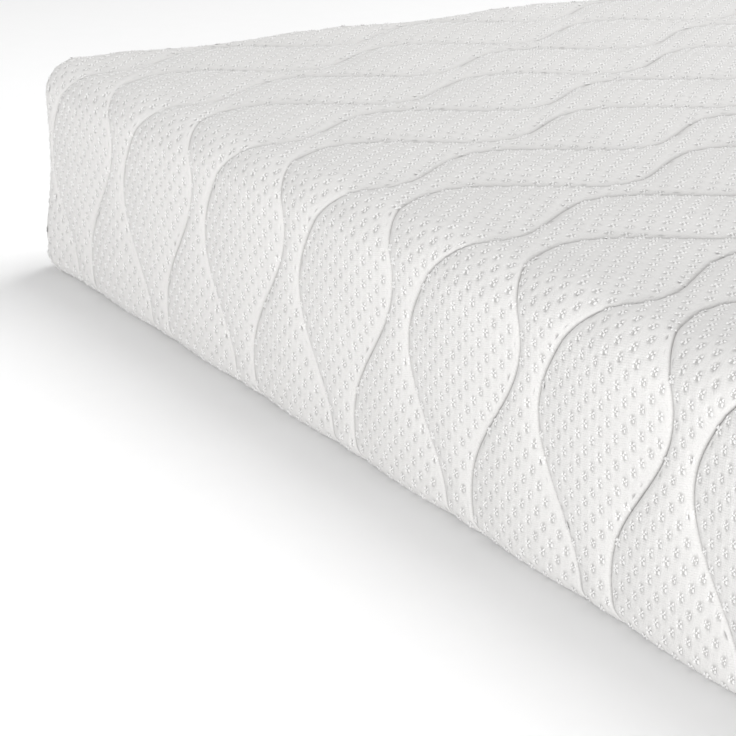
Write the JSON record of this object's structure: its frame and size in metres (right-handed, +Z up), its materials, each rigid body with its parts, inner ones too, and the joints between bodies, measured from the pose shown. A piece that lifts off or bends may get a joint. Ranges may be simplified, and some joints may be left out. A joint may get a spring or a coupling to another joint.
{
  "type": "memory foam mattress",
  "caption": "Single memory foam mattress: layered foam core in an inner sleeve, inside a wavy-quilted knit cover with a three-sided zip.",
  "frame": {"origin": "on the floor under the middle of the mattress", "axes": "+X across the width, +Y along the length towards the head end, +Z up"},
  "size_m": [0.9, 2, 0.15],
  "materials": {
    "cover_knit": "matte",
    "wadding": "matte",
    "backing": "matte",
    "base_cloth": "matte",
    "tape": "matte",
    "label": "satin",
    "zip_coil": "satin",
    "zip_metal": "satin",
    "sleeve": "matte",
    "memory_foam": "matte",
    "transition_foam": "matte",
    "support_foam": "matte"
  },
  "bodies": {
    "mattress": {"upper_cover_knit": "cover_knit", "upper_cover_wadding": "wadding", "upper_cover_backing": "backing", "lower_band_knit": "cover_knit", "lower_band_wadding": "wadding", "base_fabric": "base_cloth", "base_binding": "tape", "foot_seam_tape_left": "tape", "foot_seam_tape_right": "tape", "head_seam_tape_left": "tape", "head_seam_tape_right": "tape", "care_label": "label", "zip_tape_lower": "tape", "zip_tape_upper": "tape", "zip_coil_lower": "zip_coil", "zip_coil_upper": "zip_coil", "zip_stop_left": "zip_metal", "zip_end_tab_left": "tape", "zip_stop_right": "zip_metal", "zip_end_tab_right": "tape", "core_sleeve": "sleeve", "sleeve_end_flap": "sleeve", "memory_foam": "memory_foam", "transition_foam": "transition_foam", "support_foam": "support_foam"},
    "slider": {"zip_slider": "zip_metal"},
    "pull": {"zip_pull": "zip_metal"}
  },
  "joints": [
    {"name": "slider_travel", "type": "slide", "parent": "mattress", "child": "slider", "axis": [0, 1, 0], "range_m": [0, 1.84]},
    {"name": "pull_swing", "type": "hinge", "parent": "slider", "child": "pull", "pos_m": [0.4466, -0.91, 0.036], "axis": [0, 0, -1], "range_deg": [0, 170]}
  ]
}
